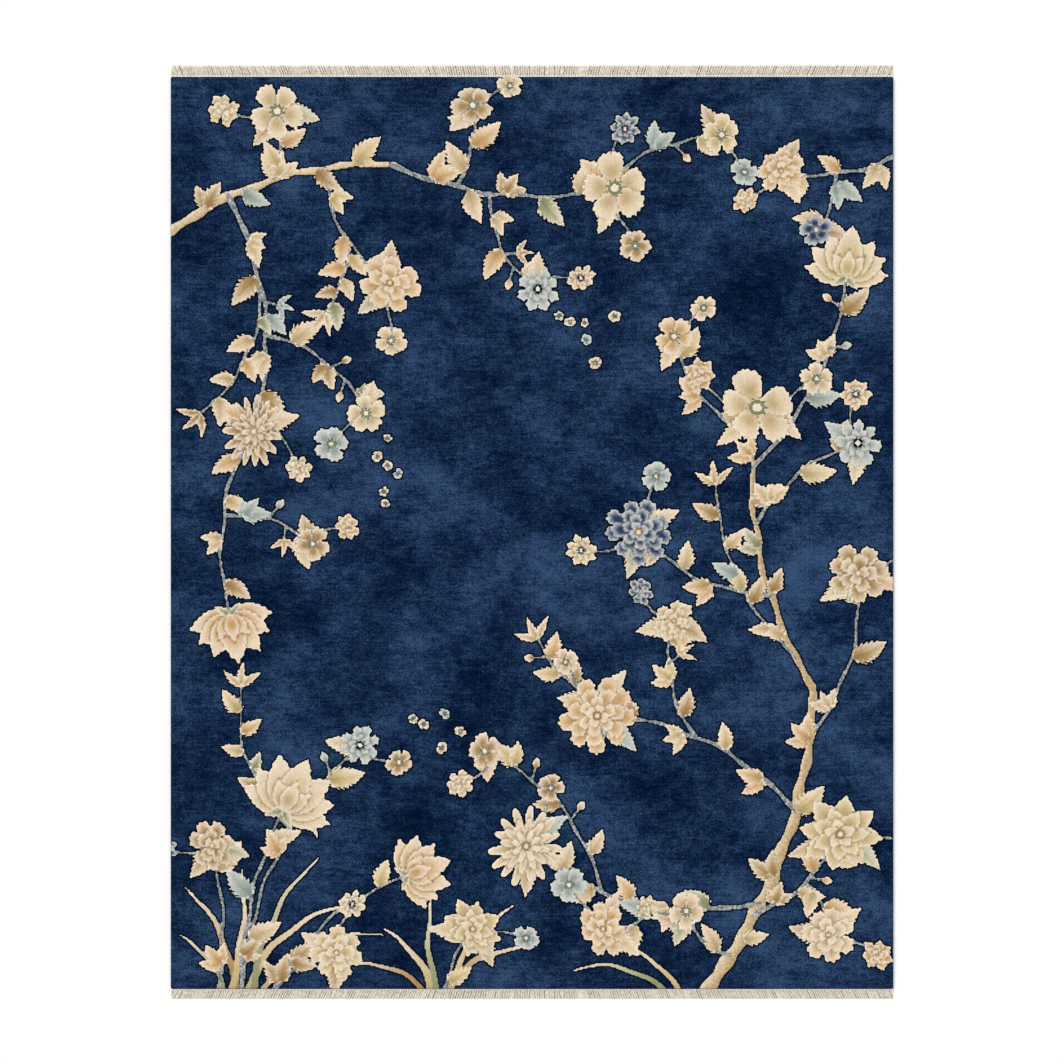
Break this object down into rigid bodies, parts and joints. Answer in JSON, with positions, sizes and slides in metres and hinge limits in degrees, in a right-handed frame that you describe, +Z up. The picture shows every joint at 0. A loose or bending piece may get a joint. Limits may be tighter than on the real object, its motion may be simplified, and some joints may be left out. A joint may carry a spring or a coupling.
{
  "type": "hand-knotted rug",
  "caption": "Large rectangular hand-knotted wool pile rug lying flat, navy with a floral design, with a cotton fringe along both short ends.",
  "frame": {"origin": "on the floor under the middle of the rug's whole outline, fringes included", "axes": "+Y along the length towards the longer fringe, +X across the width, +Z up out of the pile"},
  "size_m": [2.44, 3.152, 0.012],
  "materials": {
    "wool_pile": "matte sheared wool pile",
    "cotton_fringe": "matte twisted cotton"
  },
  "bodies": {
    "root": {"rug_pile": "wool_pile", "fringe_north": "cotton_fringe", "fringe_south": "cotton_fringe"}
  },
  "joints": []
}
